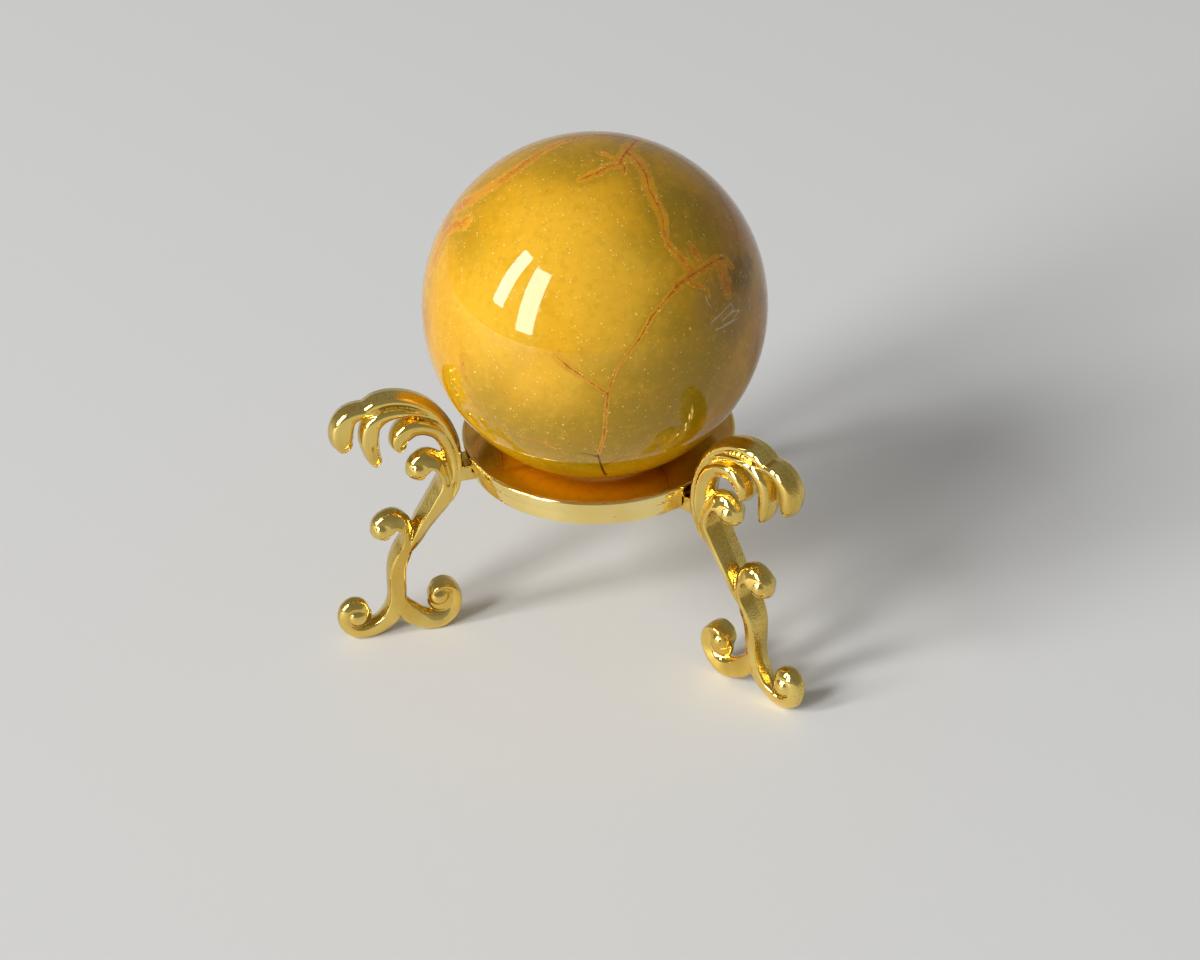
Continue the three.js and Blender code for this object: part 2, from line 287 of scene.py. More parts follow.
HONEY = (0.62, 0.315, 0.003)
MUSTARD = (0.48, 0.262, 0.003)
# A lighter orange painted on the stone's shaded underside, in place of the light that its shade lacks.
UNDERSIDE_PAINTED_LIGHT = (0.95, 0.50, 0.012)
LIGHT_GRAIN = (0.74, 0.42, 0.02)
OLIVE_GRAIN = (0.30, 0.19, 0.004)
FRINGE = (0.30, 0.165, 0.003)
AMBER = (0.72, 0.29, 0.005)
DEEP_AMBER = (0.55, 0.17, 0.003)
LIT_AMBER = (0.86, 0.48, 0.02)
THREAD_BROWN = (0.20, 0.046, 0.002)
THREAD_AMBER = (0.50, 0.17, 0.005)
CRACK_BROWN = (0.085, 0.022, 0.002)
HEALED = (0.76, 0.68, 0.54)
SPARK = (0.96, 0.72, 0.24)
DARK_GRAIN = (0.20, 0.09, 0.005)

# Cloudy patches of the stone: attribute, how far clouds shift its edge, weight and colour. The pale one is
# painted light where the picture shows it, a soft glow round the window's highlight.
PATCHES = [
    ("olive", 1.4, 0.8, (0.30, 0.185, 0.003)),
    ("window_glow_and_pale_cloud", 1.2, 0.65, (0.77, 0.435, 0.028)),
    ("brown", 0.9, 0.75, (0.40, 0.135, 0.004)),
    ("dark", 0.7, 0.7, (0.15, 0.068, 0.004)),
    ("smoky", 0.6, 0.6, (0.30, 0.17, 0.035)),
]
# Painted light under the stone, where the dish shades it: a lighter orange that the dish's cone reflects,
# given as heights over its radius.
UNDERSIDE_FROM, UNDERSIDE_TO = -0.86, -0.79
# Noise of the clouds and the grain, from broad to fine: scale, detail, roughness and distortion.
BROAD_NOISE = (45.0, 4.0, 0.5, 0.5)
MIDDLE_NOISE = (170.0, 5.0, 0.6, 0.4)
FINE_NOISE = (900.0, 4.0, 0.62)
HAIR_NOISE = (2600.0, 3.0, 0.6)
# Veins, in half widths of the vein: where the colour is full and where it ends.
FRINGE_REACH = (0.9, 3.6)
AMBER_REACH = (0.35, 1.25)
VEIN_RAGGED, VEIN_UNEVEN = 4.2, 1.6  # how far grain and clouds shift the edges
PATCH_EDGE = (0.12, 0.75)  # a patch's weight where its colour begins and is full
# Thin lines: how far the grain bends them, and where the colour is full and where it ends.
THREADS = {"line": (1.2, 0.35, 1.5), "crack": (0.8, 0.5, 1.1), "stroke": (0.5, 0.3, 1.1)}
THREAD_NEAR = (0.35, 0.5)  # millimetres from its own course at which a thin line ends
# Grains: scale, inner and outer edge, share of the cells, and strength of the faintest.
BRIGHT_GRAINS = [
    (2600.0, 0.10, 0.36, 0.20, 0.10),
    (1250.0, 0.08, 0.24, 0.10, 0.15),
    (520.0, 0.03, 0.12, 0.05, 0.4),
]
DARK_GRAINS = (1000.0, 0.10, 0.2, 0.05, 0.3)
BEND_NOISE = (2200.0, 2.0)
GRAIN_BEND = 0.0003  # metres that the grains' outlines are bent


def stone_material():
    """Polished mustard stone: olive and honey clouds, amber veins round dark threads, and bright grains."""
    material, n = new_material("mookaite_polished")
    where = n.add("ShaderNodeTexCoord").outputs["Object"]
    broad = n.noise(where, *BROAD_NOISE).outputs[0]
    middle = n.noise(where, *MIDDLE_NOISE).outputs[0]
    fine = n.noise(where, *FINE_NOISE).outputs[0]
    hair = n.noise(where, *HAIR_NOISE).outputs[0]
    uneven = n.minus(n.plus(n.times(broad, 0.55), n.times(middle, 0.45)), 0.5)
    ragged = n.minus(n.plus(n.times(fine, 0.6), n.times(hair, 0.4)), 0.5)

    def zone(name, spread):
        """The patch's weight with a cloudy edge."""
        return n.remap(n.plus(n.attribute(name), n.times(uneven, spread)), *PATCH_EDGE)

    def thread(name):
        """A thin line where the signed distance to it passes zero, close to its own course."""
        wander, inner, outer = THREADS[name]
        offset = n.math("ABSOLUTE", n.plus(n.attribute(name), n.times(ragged, wander)))
        close = n.falling(n.attribute(name + "_reach"), *THREAD_NEAR)
        return n.times(n.falling(offset, inner, outer), close)

    base = n.mix(n.remap(broad, 0.36, 0.62), HONEY, MUSTARD)
    # The pale patch is painted light on the shown side: the glow round the window's highlight.
    for name, spread, weight, colour in PATCHES:
        base = n.mix(n.times(zone(name, spread), weight), base, colour)
    height = n.add("ShaderNodeSeparateXYZ", {0: where}).outputs[2]
    lowest, highest = UNDERSIDE_FROM * STONE_RADIUS, UNDERSIDE_TO * STONE_RADIUS
    # Painted light: the shaded underside is lightened towards a bright orange.
    base = n.mix(n.remap(height, lowest, highest, 0.85, 0.0), base, UNDERSIDE_PAINTED_LIGHT)
    base = n.mix(n.times(n.remap(fine, 0.48, 0.72), 0.25), base, LIGHT_GRAIN)
    base = n.mix(n.times(n.falling(fine, 0.34, 0.50), 0.18), base, OLIVE_GRAIN)

    band = n.plus(n.attribute("band"), n.times(ragged, VEIN_RAGGED))
    band = n.plus(band, n.times(uneven, VEIN_UNEVEN))
    base = n.mix(n.times(n.falling(band, *FRINGE_REACH), 0.35), base, FRINGE)
    amber = n.mix(n.remap(middle, 0.4, 0.6), AMBER, DEEP_AMBER)
    amber_share = n.times(n.falling(band, *AMBER_REACH), n.remap(hair, 0.30, 0.60, 0.60, 0.95))
    base = n.mix(amber_share, base, amber)
    lit_edge = n.times(n.remap(band, 0.4, 0.9), n.falling(band, 0.95, 1.4))
    base = n.mix(n.times(lit_edge, 0.30), base, LIT_AMBER)
    thread_colour = n.mix(n.remap(fine, 0.38, 0.56), THREAD_BROWN, THREAD_AMBER)
    base = n.mix(n.times(thread("line"), 0.85), base, thread_colour)
    crack = thread("crack")
    base = n.mix(crack, base, CRACK_BROWN)
    base = n.mix(n.times(thread("stroke"), 0.5), base, HEALED)

    bend = n.noise(where, *BEND_NOISE).outputs[1]
    bend = n.add("ShaderNodeVectorMath", {0: bend, 1: (0.5, 0.5, 0.5)}, operation="SUBTRACT")
    most = (GRAIN_BEND, GRAIN_BEND, GRAIN_BEND)
    bent = n.add("ShaderNodeVectorMath", {0: bend, 1: most, 2: where}, operation="MULTIPLY_ADD")

    def grains(scale, inner, outer, share, faintest):
        """Small uneven grains in a share of the cells, each of its own strength, and denser on the veins."""
        distance, lot, strength = n.cells(bent, scale)
        lot = n.plus(lot, n.remap(band, 0.8, 2.2, 0.12, 0.0))
        kept = n.times(n.remap(lot, 1 - share, 1.02 - share), n.remap(strength, 0.0, 1.0, faintest, 1.0))
        return n.times(n.falling(distance, inner, outer), kept)

    finest, medium, coarse = (grains(*grain) for grain in BRIGHT_GRAINS)
    spark = n.larger(n.larger(finest, medium), coarse)
    base = n.mix(n.times(spark, 0.8), base, SPARK)
    base = n.mix(n.times(grains(*DARK_GRAINS), 0.6), base, DARK_GRAIN)

    relief = n.minus(n.times(spark, 0.25), crack)
    bump = n.add("ShaderNodeBump", {"Strength": 0.3, "Distance": BUMP_HEIGHT, "Height": relief})
    rough = n.remap(middle, 0.35, 0.65, 0.02, 0.05)
    shader = n.add("ShaderNodeBsdfPrincipled", {
        "Base Color": base, "Roughness": rough, "Normal": bump, "IOR": 1.54, "Specular IOR Level": 0.34,
        "Subsurface Weight": 0.35, "Subsurface Scale": 0.005, "Subsurface Radius": (1.0, 0.55, 0.12)})
    n.add("ShaderNodeOutputMaterial", {"Surface": shader})
    return material


# Mesh helpers


def mesh_object(name, vertices, faces, material, smooth=True):
    mesh = bpy.data.meshes.new(name)
    mesh.from_pydata([tuple(v) for v in vertices], [], [tuple(f) for f in faces])
    mesh.validate()
    if smooth:
        mesh.shade_smooth()
    mesh.materials.append(material)
    obj = bpy.data.objects.new(name, mesh)
    bpy.context.scene.collection.objects.link(obj)
    return obj


def between(u, low, high, a, b):
    """The value at u on the straight line from a, at low, to b, at high."""
    return (high - u) / (high - low) * a + (u - low) / (high - low) * b


def catmull(points, per_span):
    """A centripetal Catmull-Rom curve through rows of [out, up, width, thickness]."""
    p = np.array(points, float)
    p = np.vstack([2 * p[0] - p[1], p, 2 * p[-1] - p[-2]])
    made = []
    for i in range(1, len(p) - 2):
        q = p[i - 1 : i + 3]
        gaps = np.maximum(1e-6, np.linalg.norm(np.diff(q[:, :2], axis=0), axis=1)) ** 0.5
        t = np.concatenate([[0], np.cumsum(gaps)])
        last = i == len(p) - 3
        for u in np.linspace(t[1], t[2], per_span + 1)[: None if last else -1]:
            a = [between(u, t[k], t[k + 1], q[k], q[k + 1]) for k in range(3)]
            b = [between(u, t[k], t[k + 2], a[k], a[k + 1]) for k in range(2)]
            made.append(between(u, t[1], t[2], b[0], b[1]))
    return np.array(made)


def rounded(corners, radii, steps=4):
    """A closed outline with its corners rounded, as rows of [across, sideways]."""
    corners = np.array(corners, float)
    count = len(corners)
    line = []
    for i in range(count):
        here, before, after = corners[i], corners[i - 1], corners[(i + 1) % count]
        back, on = before - here, after - here
        long_back, long_on = np.linalg.norm(back), np.linalg.norm(on)
        r = min(radii[i], 0.45 * long_back, 0.45 * long_on)
        start, end = here + back / long_back * r, here + on / long_on * r
        for u in np.linspace(0, 1, steps + 1):
            line.append((1 - u) ** 2 * start + 2 * u * (1 - u) * here + u**2 * end)
    return np.array(line)


def ridged_section(w, h, roof, ridge, shoulder, heel):
    """The bar's section: roofed edges on the parting line, and side faces that swell between them.

    A side face is fullest near the outer edge and falls away from there to the inner one."""
    peak = w + roof * min(ROOF_LIMIT, w)
    half = [(w, shoulder * h), (ridge * w, h), (-0.4 * w, (0.45 + 0.55 * heel) * h), (-w, heel * h)]
    corners = [(peak, 0), *half, (-peak, 0), *[(a, -b) for a, b in reversed(half)]]
    edge = min(EDGE_ROUND, 0.3 * w)
    radii = [RIDGE_ROUND, edge, w, w, edge, RIDGE_ROUND, edge, w, w, edge]
    return rounded(corners, radii)


def ridged_bar(points, roof, ridge=0.35, shoulder=0.8, heel=0.55):
    """Rings of points along a bar of the casting, in the leg's own plane (X outward, Y sideways, Z up)."""
    path = catmull(points, BAR_STEPS)
    along = np.gradient(path[:, :2], axis=0)
    along /= np.linalg.norm(along, axis=1)[:, None]
    rings = []

    def ring(centre, direction, w, h, scale):
        outer = np.array([-direction[1], direction[0]])
        section = ridged_section(w, h, roof, ridge, shoulder, heel) * scale
        flat = centre[None, :] + section[:, :1] * outer[None, :]
        rings.append(np.stack([flat[:, 0], section[:, 1], flat[:, 1]], axis=1))

    reach = 1 + 0.5 * roof
    for angle in CAP_ANGLES:
        w, h = path[0, 2], path[0, 3]
        ring(path[0, :2] - along[0] * w * math.sin(angle) * reach, along[0], w, h, math.cos(angle))
    for row, direction in zip(path, along):
        ring(row[:2], direction, max(THINNEST, row[2]), max(THINNEST, row[3]), 1.0)
    for angle in reversed(CAP_ANGLES):
        w, h = path[-1, 2], path[-1, 3]
        ring(path[-1, :2] + along[-1] * w * math.sin(angle) * reach, along[-1], w, h, math.cos(angle))
    return np.array(rings)


def skin(rings):
    """Vertices and faces over rings of equal counts, with both ends closed."""
    steps, count = rings.shape[:2]
    faces = []
    for s in range(steps - 1):
        for c in range(count):
            a, b = s * count + c, s * count + (c + 1) % count
            faces.append((a, a + count, b + count, b))
    faces.append(tuple(range(count)))
    faces.append(tuple(range(steps * count - 1, (steps - 1) * count - 1, -1)))
    return rings.reshape(-1, 3), faces


def ball(centre, radii, around=40, rise=20):
    """Rings of points over an ellipsoid, which run round its sideways axis."""
    rings = []
    for j in range(rise + 1):
        angle = math.pi * (j + 0.02) / (rise + 0.04)
        turn = np.linspace(0, 2 * math.pi, around, endpoint=False)
        x = centre[0] + radii[0] * math.sin(angle) * np.cos(turn)
        z = centre[2] + radii[2] * math.sin(angle) * np.sin(turn)
        y = np.full(around, centre[1] + radii[1] * math.cos(angle))
        rings.append(np.stack([x, y, z], axis=1))
    return np.array(rings)


def lathe(profile, segments):
    """A closed ring of revolution about Z from a closed outline of [radius, height]."""
    profile = np.array(profile)
    turn = np.linspace(0, 2 * math.pi, segments, endpoint=False)
    vertices = [(r * math.cos(t), r * math.sin(t), z) for t in turn for r, z in profile]
    count = len(profile)
    faces = []
    for s in range(segments):
        for c in range(count):
            a, b = s * count + c, s * count + (c + 1) % count
            d, e = ((s + 1) % segments) * count + c, ((s + 1) % segments) * count + (c + 1) % count
            faces.append((a, d, e, b))
    return np.array(vertices), faces


def box_mesh(low, high):
    (x0, y0, z0), (x1, y1, z1) = low, high
    v = [(x, y, z) for z in (z0, z1) for x, y in ((x0, y0), (x1, y0), (x1, y1), (x0, y1))]
    f = [(0, 3, 2, 1), (4, 5, 6, 7), (0, 1, 5, 4), (1, 2, 6, 5), (2, 3, 7, 6), (3, 0, 4, 7)]
    return np.array(v, float), f


def cut_away(obj, vertices, faces):
    """Cuts a closed body, given in millimetres, out of an object."""
    cutter = mesh_object("cutter", vertices * MM, faces, obj.data.materials[0], smooth=False)
    modified(obj, cut=("BOOLEAN", {"object": cutter, "operation": "DIFFERENCE", "solver": "EXACT"}))
    bpy.data.objects.remove(cutter)


def modified(obj, **modifiers):
    """Adds the modifiers given as name=(type, settings) and applies them all."""
    for name, (kind, settings) in modifiers.items():
        modifier = obj.modifiers.new(name, kind)
        for key, value in settings.items():
            setattr(modifier, key, value)
    graph = bpy.context.evaluated_depsgraph_get()
    mesh = bpy.data.meshes.new_from_object(obj.evaluated_get(graph))
    obj.modifiers.clear()
    old = obj.data
    obj.data = mesh
    mesh.name = old.name
    bpy.data.meshes.remove(old)
    return obj


# The leg


def from_tab(points):
    return [(LEG_FACE + out, TAB_TOP + up, w, h) for out, up, w, h in points]


def from_floor(points):
    return [(LEG_FACE + out, up, w, h) for out, up, w, h in points]


CREST_TOP = from_tab([
    (4.5, -7.5, 0.3, 1.6), (2.4, -5.4, 0.5, 2.1), (1.4, -2.8, 0.6, 2.4), (1.1, 0.0, 0.65, 2.6),
    (1.2, 2.6, 0.7, 2.5), (1.9, 5.2, 0.8, 2.4), (3.2, 8.0, 0.85, 2.3), (5.1, 10.3, 0.85, 2.2),
    (7.5, 11.8, 0.85, 2.1), (10.2, 12.4, 0.9, 2.05), (12.2, 12.1, 0.95, 2.0), (13.3, 11.55, 0.9, 1.9),
])
CREST_OUTER_LOBE = from_tab([
    (11.4, 10.6, 0.4, 1.5), (14.0, 11.2, 0.85, 1.9), (16.2, 10.6, 1.2, 2.0), (17.3, 9.1, 1.45, 2.0),
    (17.6, 7.4, 1.4, 2.0), (17.45, 6.3, 1.2, 1.8), (17.3, 5.7, 0.95, 1.5),
])
CREST_MIDDLE_LOBE = from_tab([
    (2.7, 6.9, 0.25, 1.8), (4.1, 8.7, 0.45, 2.0), (6.1, 9.8, 0.6, 2.1), (8.6, 10.3, 0.75, 2.1),
    (11.2, 10.0, 1.0, 2.1), (13.0, 8.7, 1.25, 2.1), (13.6, 6.6, 1.25, 2.0), (13.5, 4.5, 1.0, 1.9),
    (13.1, 2.7, 0.8, 1.6), (12.8, 2.1, 0.65, 1.3),
])
CREST_INNER_LOBE = from_tab([
    (2.4, -3.0, 0.5, 2.3), (1.9, -0.6, 0.8, 2.6), (1.9, 1.6, 0.85, 2.5), (2.3, 3.8, 0.95, 2.4),
    (3.3, 5.8, 1.1, 2.3), (5.0, 7.0, 1.2, 2.2), (7.0, 7.3, 1.35, 2.15), (8.4, 6.6, 1.4, 2.1),
    (9.2, 5.6, 1.25, 2.0), (9.3, 4.7, 1.0, 1.8), (9.15, 4.2, 0.8, 1.5),
])
UPPER_BAR = from_tab([
    (7.0, -0.5, 1.3, 1.8), (6.7, 0.3, 1.5, 2.1), (5.5, 1.3, 1.3, 2.15),
    (3.9, 0.6, 0.95, 2.3), (3.0, -1.2, 0.9, 2.5), (2.6, -3.2, 1.25, 2.65), (3.5, -5.4, 1.45, 2.6),
    (5.2, -7.8, 1.25, 2.5),
]) + from_floor([(6.8, 19.5, 1.05, 2.4), (8.2, 17.0, 0.85, 2.2), (10.2, 14.0, 0.45, 1.6)])
LOWER_BAR = from_floor([
    (13.2, 19.2, 1.35, 1.8), (12.8, 20.1, 1.55, 2.15), (11.3, 21.0, 1.3, 2.2),
    (9.9, 20.2, 0.95, 2.2), (9.3, 18.4, 0.8, 2.2), (9.4, 16.6, 0.95, 2.2), (10.3, 14.6, 1.2, 2.2),
    (11.2, 12.4, 1.25, 2.0), (11.5, 9.9, 1.2, 1.75), (11.6, 7.3, 1.2, 1.6), (12.0, 5.0, 1.3, 1.55),
    (12.9, 3.2, 1.4, 1.5), (14.2, 2.0, 1.25, 1.5), (15.8, 1.25, 1.2, 1.5), (17.4, 1.05, 1.1, 1.5),
    (18.8, 1.5, 0.95, 1.5), (19.8, 2.6, 0.8, 1.5), (20.2, 4.1, 0.7, 1.5), (19.8, 5.6, 0.65, 1.5),
    (18.6, 6.4, 0.65, 1.5), (17.3, 6.1, 0.6, 1.5), (16.7, 4.9, 0.5, 1.4),
])
INNER_FOOT = from_floor([
    (11.4, 7.8, 0.5, 1.4), (11.0, 5.4, 0.9, 1.5), (10.0, 3.4, 1.4, 1.6), (8.6, 2.2, 1.3, 1.65),
    (7.0, 1.4, 1.25, 1.65), (5.4, 1.3, 1.2, 1.65), (3.9, 2.1, 1.0, 1.65), (2.9, 3.5, 0.8, 1.65),
    (2.6, 5.1, 0.7, 1.65), (3.1, 6.6, 0.65, 1.65), (4.4, 7.3, 0.65, 1.65), (5.7, 6.8, 0.6, 1.6),
    (6.1, 5.6, 0.45, 1.5),
])
# Bosses: place, radius and half thickness.
FOOT_EYES = from_floor([
    (18.2, 4.0, 2.4, 1.1), (18.0, 4.3, 1.85, 2.0), (4.7, 4.6, 2.4, 1.2), (5.3, 5.8, 1.75, 2.1),
])
SCROLL_BALLS = from_tab([(6.75, 0.0, 1.65, 2.1)]) + from_floor([(13.0, 19.7, 1.65, 2.1)])
STEM = {"ridge": 0.6, "shoulder": 0.9}
BARS = [
    (CREST_TOP, {"roof": 0.45}),
    (CREST_OUTER_LOBE, {"roof": 0.5}),
    (CREST_MIDDLE_LOBE, {"roof": 0.4}),
    (CREST_INNER_LOBE, {"roof": 0.4}),
    (UPPER_BAR, {"roof": 0.5, **STEM}),
    (LOWER_BAR, {"roof": 0.35, **STEM}),
    (INNER_FOOT, {"roof": 0.3, **STEM}),
]
# The tab's block and its thinner end: inner end, outer end and top.
TAB_BLOCKS = [
    (WALL_RADIUS + SHOWN_GAP, LEG_FACE + BLOCK_ROOT, TAB_TOP),
    (TONGUE_TIP, LEG_FACE + TONGUE_ROOT, TONGUE_TOP),
]
CAST_VOXEL, CAST_EASE = ((0.12, 7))
ROOF_FROM, ROOF_TO = 0.62, 0.37  # sideways share of the normal, where the narrow faces begin and are full


def screw_hole(low, high):
    """The body that a screw's hole takes away, between two heights on the axis of the screw at azimuth 0."""
    radius = SCREW_RADIUS + CLEARANCE
    v, f = spun([(0, low), (radius, low), (radius, high), (0, high)], 32)
    return v + np.array([SCREW_AXIS, 0, 0]), f


def leg_mesh(material):
    """The casting: its bars and bosses melted into one skin, with small fillets where they meet."""
    vertices, faces = [], []

    def take(made, made_faces):
        start = sum(len(v) for v in vertices)
        vertices.append(made)
        faces.extend(tuple(start + i for i in f) for f in made_faces)

    for points, style in BARS:
        take(*skin(ridged_bar(points, **style)))
    for out, up, radius, half in FOOT_EYES + SCROLL_BALLS:
        take(*skin(ball((out, 0, up), (radius, half, radius))))
    for inner, outer, top in TAB_BLOCKS:
        take(*box_mesh((inner, -TAB_HALF_WIDTH, TAB_UNDERSIDE), (outer, TAB_HALF_WIDTH, top)))
    vertices = np.vstack(vertices)
    vertices[:, 2] = np.maximum(vertices[:, 2], 0.0)
    leg = mesh_object("leg_casting", vertices * MM, faces, material)
    melt = {"mode": "VOXEL", "voxel_size": CAST_VOXEL * MM, "use_smooth_shade": True}
    modified(leg, melt=("REMESH", melt))
    cut_away(leg, *screw_hole(TAB_UNDERSIDE - OVERCUT, TONGUE_TOP + TONGUE_OVERCUT))
    modified(leg, ease=("SMOOTH", {"factor": 0.5, "iterations": CAST_EASE}))
    count = len(leg.data.vertices)
    places, normals = np.empty(count * 3, np.float32), np.empty(count * 3, np.float32)
    leg.data.vertices.foreach_get("co", places)
    leg.data.vertices.foreach_get("normal", normals)
    places = places.reshape(-1, 3)
    places[:, 2] = np.maximum(places[:, 2], 0.0)
    leg.data.vertices.foreach_set("co", places.reshape(-1))
    side = np.abs(normals.reshape(-1, 3)[:, 1])
    roof = np.clip((ROOF_FROM - side) / (ROOF_FROM - ROOF_TO), 0, 1)
    leg.data.attributes.new("facet", "FLOAT", "POINT").data.foreach_set("value", roof.astype(np.float32))
    leg.data.shade_smooth()
    return leg


# The stone

# Veins as the picture shows them: places, half width of the amber band at both ends, and how strong the
# dark thread along it is.
VEINS = [
    ([(612, 133), (585, 136), (559, 143), (536, 156), (513, 172)], 0.6, 1.1, 0.8),
    ([(513, 172), (493, 186), (476, 197), (459, 207)], 1.0, 1.3, 0.0),
    ([(466, 222), (452, 226), (443, 238), (436, 256), (430, 275)], 1.1, 0.5, 0.0),
    ([(642, 138), (633, 144), (627, 151), (622, 158), (620, 164), (609, 166), (596, 173), (580, 180)],
     1.2, 0.5, 1.0),
    ([(620, 163), (625, 167), (624, 175)], 0.6, 0.3, 0.7),
    ([(599, 152), (607, 155), (617, 160)], 0.5, 0.35, 0.0),
    ([(627, 152), (638, 162), (646, 175), (649, 189), (656, 202), (662, 215), (664, 229), (665, 236)],
     1.1, 0.55, 0.8),
    ([(665, 236), (669, 246), (678, 255), (687, 264), (692, 271)], 0.4, 0.95, 0.35),
    ([(731, 266), (724, 258), (718, 259), (710, 264), (698, 271), (687, 278), (676, 287)], 0.6, 0.65, 0.9),
    ([(676, 287), (666, 300), (652, 316), (640, 338), (628, 354), (616, 370), (611, 382), (608, 394)],
     0.42, 0.16, 0.85),
    ([(690, 243), (695, 254), (702, 264)], 0.35, 0.35, 0.0),
    ([(694, 246), (702, 263)], 0.25, 0.3, 0.0),
    ([(687, 281), (698, 286), (708, 290), (710, 298)], 0.4, 0.2, 0.0),
    ([(722, 268), (725, 280), (727, 291)], 1.0, 0.9, 0.0),
    ([(608, 394), (596, 386), (582, 376), (570, 368), (558, 358)], 0.2, 0.28, 0.8),
    ([(608, 394), (606, 412), (604, 436), (598, 455)], 0.3, 0.22, 0.75),
    ([(463, 358), (463, 370), (467, 382)], 0.3, 0.15, 0.5),
    ([(470, 396), (486, 418), (502, 430), (526, 438), (542, 442), (556, 449)], 0.10, 0.16, 0.6),
]
# Open cracks: places, and the half width at both ends.
CRACKS = [
    ([(598, 455), (602, 468), (606, 475)], 0.14, 0.30),
    ([(597, 456), (588, 454), (578, 453)], 0.10, 0.05),
    ([(604, 465), (618, 459), (624, 457)], 0.08, 0.04),
]
# Pale healed fractures in the smoky patch.
STROKES = [
    [(706, 297), (708, 303), (711, 307)],
    [(716, 330), (727, 325), (738, 318)],
    [(712, 322), (722, 313), (731, 303), (734, 309), (725, 318)],
    [(723, 320), (732, 312), (739, 310), (733, 320), (724, 325)],
    [(749, 300), (750, 306), (749, 311)],
]
# Cloudy patches: place, radius as a share of the stone's radius, weight. The pale ones are painted light: the
# soft glow round the window's highlight.
PAINTED_WINDOW_GLOW = [
    (560, 245, 0.5, 0.8), (600, 290, 0.45, 0.8), (500, 300, 0.5, 0.7), (545, 385, 0.3, 0.6),
    (520, 200, 0.3, 0.3),
]
OLIVE = [
    (570, 165, 0.3, 0.7), (650, 345, 0.4, 0.8), (560, 440, 0.45, 0.9), (680, 215, 0.3, 0.8),
    (690, 400, 0.5, 0.8), (630, 430, 0.4, 0.8), (470, 245, 0.25, 0.6), (640, 250, 0.22, 0.7),
    (500, 410, 0.3, 0.6),
]
BROWN = [
    (740, 215, 0.4, 0.7), (762, 330, 0.35, 0.6), (620, 133, 0.25, 0.6), (470, 175, 0.3, 0.5),
    (425, 320, 0.2, 0.5), (727, 280, 0.1, 0.8), (447, 222, 0.12, 0.6), (520, 148, 0.14, 0.5),
]
DARK = [(740, 276, 0.12, 1.0), (748, 262, 0.07, 0.7), (762, 300, 0.1, 0.4)]
SMOKY = [(714, 304, 0.15, 1.0), (730, 315, 0.16, 1.0), (745, 305, 0.1, 0.7)]
FAR_AWAY = 40.0  # stands for a distance past every line, in widths of the line
# The side that the picture does not show: how many veins and forks, their stride as a share of the radius,
# and how far round towards the camera they may reach.
HIDDEN_VEINS, HIDDEN_FORKS = 9, 5
VEIN_STRIDE, FORK_STRIDE = 0.11, 0.1
HIDDEN_BELOW = 0.05
DARK_WIDTHS = (0.15, 0.09)  # half width of the dark thread at both ends, in millimetres
STROKE_WIDTHS = (0.13, 0.06)
STONE_SIDE = 160  # faces along each edge of the divided cube


def cube_sphere(side):
    """Unit points spread evenly over a sphere, with the faces between them, from a divided cube."""
    mesh = bmesh.new()
    bmesh.ops.create_cube(mesh, size=2.0)
    bmesh.ops.subdivide_edges(mesh, edges=mesh.edges[:], cuts=side - 1, use_grid_fill=True)
    points = np.array([v.co[:] for v in mesh.verts])
    faces = [[v.index for v in f.verts] for f in mesh.faces]
    mesh.free()
    points = np.tan(points * math.pi / 4)
    return points / np.linalg.norm(points, axis=1)[:, None], faces


def wandering(rng, start, heading, steps, stride):
    """A vein that wanders over the sphere from a start point."""
    line = [np.array(start)]
    for _ in range(steps):
        here = line[-1]
        heading = heading - here * heading.dot(here)
        heading /= np.linalg.norm(heading)
        side = np.cross(here, heading)
        heading = heading + side * rng.normal(0, 0.35)
        heading /= np.linalg.norm(heading)
        on = here + heading * stride
        line.append(on / np.linalg.norm(on))
    return line


def nearest(points, line, widths):
    """Distance from each point to a line on the unit sphere, as a share of the line's own width there.

    Also gives the distance itself and the side of the line, 1 or -1, that the point lies on."""
    best, reach, side = np.full(len(points), 1e9), np.full(len(points), 1e9), np.ones(len(points))
    line = np.array(line)
    share = np.linspace(0, 1, len(line))
    for i in range(len(line) - 1):
        a, b = line[i], line[i + 1]
        ab = b - a
        t = np.clip((points - a) @ ab / (ab @ ab), 0, 1)
        distance = np.linalg.norm(points - (a + t[:, None] * ab), axis=1)
        at = share[i] + t * (share[i + 1] - share[i])
        ratio = distance / (widths[0] + at * (widths[1] - widths[0]))
        closer = ratio < best
        best[closer], reach[closer] = ratio[closer], distance[closer]
        side[closer] = np.where(points @ np.cross(a, b) > 0, 1, -1)[closer]
    return best, reach, side


class Thread:
    """Signed distance to the nearest of several thin lines, which passes zero on the line itself."""

    def __init__(self, points):
        self.points = points
        self.signed = np.full(len(points), FAR_AWAY)
        self.reach = np.full(len(points), 1.0)

    def add(self, line, start, end):
        best, reach, side = nearest(self.points, line, (start, end))
        closer = best < np.abs(self.signed)
        self.signed[closer] = (best * side)[closer]
        self.reach[closer] = reach[closer]


def blobs(points, places):
    """How much each point belongs to any of the soft round patches."""
    total = np.zeros(len(points))
    for x, y, radius, weight in places:
        distance = np.linalg.norm(points - np.array(on_stone(x, y)), axis=1)
        total = np.maximum(total, weight * np.exp(-((distance / radius) ** 2)))
    return total


